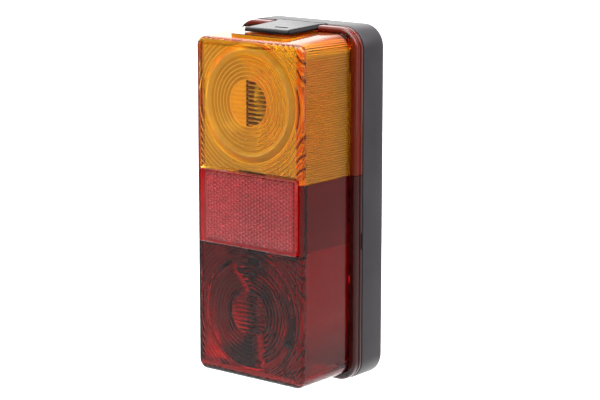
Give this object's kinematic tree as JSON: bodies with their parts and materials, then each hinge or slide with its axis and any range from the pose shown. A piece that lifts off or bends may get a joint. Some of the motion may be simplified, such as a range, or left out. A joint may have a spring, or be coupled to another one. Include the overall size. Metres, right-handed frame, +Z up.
{
  "type": "trailer tail light",
  "caption": "Upright rectangular trailer tail light with amber and red lens halves, a reflex reflector band, a top latch and bayonet bulbs in a black tray.",
  "frame": {"origin": "centre of the flat back face of the housing", "axes": "+Y into the vehicle out of the back face, +Z up, +X to the right seen from the front; the lens faces -Y"},
  "size_m": [0.0688, 0.055, 0.16],
  "materials": {
    "housing_black": "satin moulded",
    "gasket_rubber": "soft matte",
    "sheet_white": "satin white sheet",
    "grommet_rubber": "soft matte",
    "lens_amber": "clear amber plastic, fluted inside",
    "lens_red": "clear red plastic, fluted inside",
    "reflex_red": "clear red plastic with prisms",
    "latch_black": "satin moulded",
    "pin_steel": "drawn wire",
    "carrier_black": "satin moulded",
    "strip_brass": "stamped sheet",
    "plunger_brass": "turned",
    "spring_steel": "drawn wire",
    "screw_steel": "zinc plated",
    "socket_nickel": "nickel plated brass",
    "bulb_glass": "clear blown glass",
    "cap_brass": "drawn",
    "insulator_black": "fused black glass",
    "solder": "dull solder",
    "tungsten": "drawn wire"
  },
  "bodies": {
    "housing": {"housing": "housing_black", "gasket": "gasket_rubber", "grommet": "grommet_rubber", "reflector_sheet": "sheet_white", "latch_pin": "pin_steel", "carrier": "carrier_black", "strip_indicator": "strip_brass", "strip_stop": "strip_brass", "strip_tail": "strip_brass", "strip_earth": "strip_brass", "spring_indicator": "spring_steel", "spring_stop": "spring_steel", "spring_tail": "spring_steel", "terminal_screw_indicator": "screw_steel", "terminal_screw_stop": "screw_steel", "terminal_screw_tail": "screw_steel", "terminal_screw_earth": "screw_steel", "carrier_screw_upper": "screw_steel", "carrier_screw_lower": "screw_steel", "socket_indicator": "socket_nickel", "socket_stop_tail": "socket_nickel"},
    "lens": {"lens_amber": "lens_amber", "lens_red": "lens_red", "reflex_reflector": "reflex_red"},
    "latch": {"latch": "latch_black"},
    "bulb_indicator": {"glass_indicator": "bulb_glass", "cap_indicator": "cap_brass", "insulator_indicator": "insulator_black", "contact_indicator": "solder", "filament_indicator": "tungsten"},
    "bulb_stop_tail": {"glass_stop_tail": "bulb_glass", "cap_stop_tail": "cap_brass", "insulator_stop_tail": "insulator_black", "contact_stop": "solder", "contact_tail": "solder", "filament_stop": "tungsten", "filament_tail": "tungsten"},
    "plunger_indicator": {"plunger_indicator": "plunger_brass"},
    "plunger_stop": {"plunger_stop": "plunger_brass"},
    "plunger_tail": {"plunger_tail": "plunger_brass"}
  },
  "joints": [
    {"name": "lens_swing", "type": "hinge", "parent": "housing", "child": "lens", "pos_m": [0, -0.0155, -0.0797], "axis": [1, 0, 0], "range_deg": [0, 60]},
    {"name": "latch_hinge", "type": "hinge", "parent": "housing", "child": "latch", "pos_m": [0, -0.0139, 0.079], "axis": [-1, 0, 0], "range_deg": [0, 100]},
    {"name": "bulb_indicator_turn", "type": "hinge", "parent": "housing", "child": "bulb_indicator", "pos_m": [0, -0.028, 0.0157], "axis": [0, 0, 1], "range_deg": [0, 20]},
    {"name": "bulb_stop_tail_turn", "type": "hinge", "parent": "housing", "child": "bulb_stop_tail", "pos_m": [0, -0.028, -0.0157], "axis": [0, 0, 1], "range_deg": [0, 20]},
    {"name": "plunger_indicator_press", "type": "slide", "parent": "housing", "child": "plunger_indicator", "axis": [0, 0, -1], "range_m": [0, 0.0015], "stiffness_N_per_m": 2000, "springref_m": -0.001, "deforming": ["spring_indicator"]},
    {"name": "plunger_stop_press", "type": "slide", "parent": "housing", "child": "plunger_stop", "axis": [0, 0, 1], "range_m": [0, 0.0015], "stiffness_N_per_m": 1200, "springref_m": -0.001, "deforming": ["spring_stop"]},
    {"name": "plunger_tail_press", "type": "slide", "parent": "housing", "child": "plunger_tail", "axis": [0, 0, 1], "range_m": [0, 0.0015], "stiffness_N_per_m": 1200, "springref_m": -0.001, "deforming": ["spring_tail"]}
  ]
}
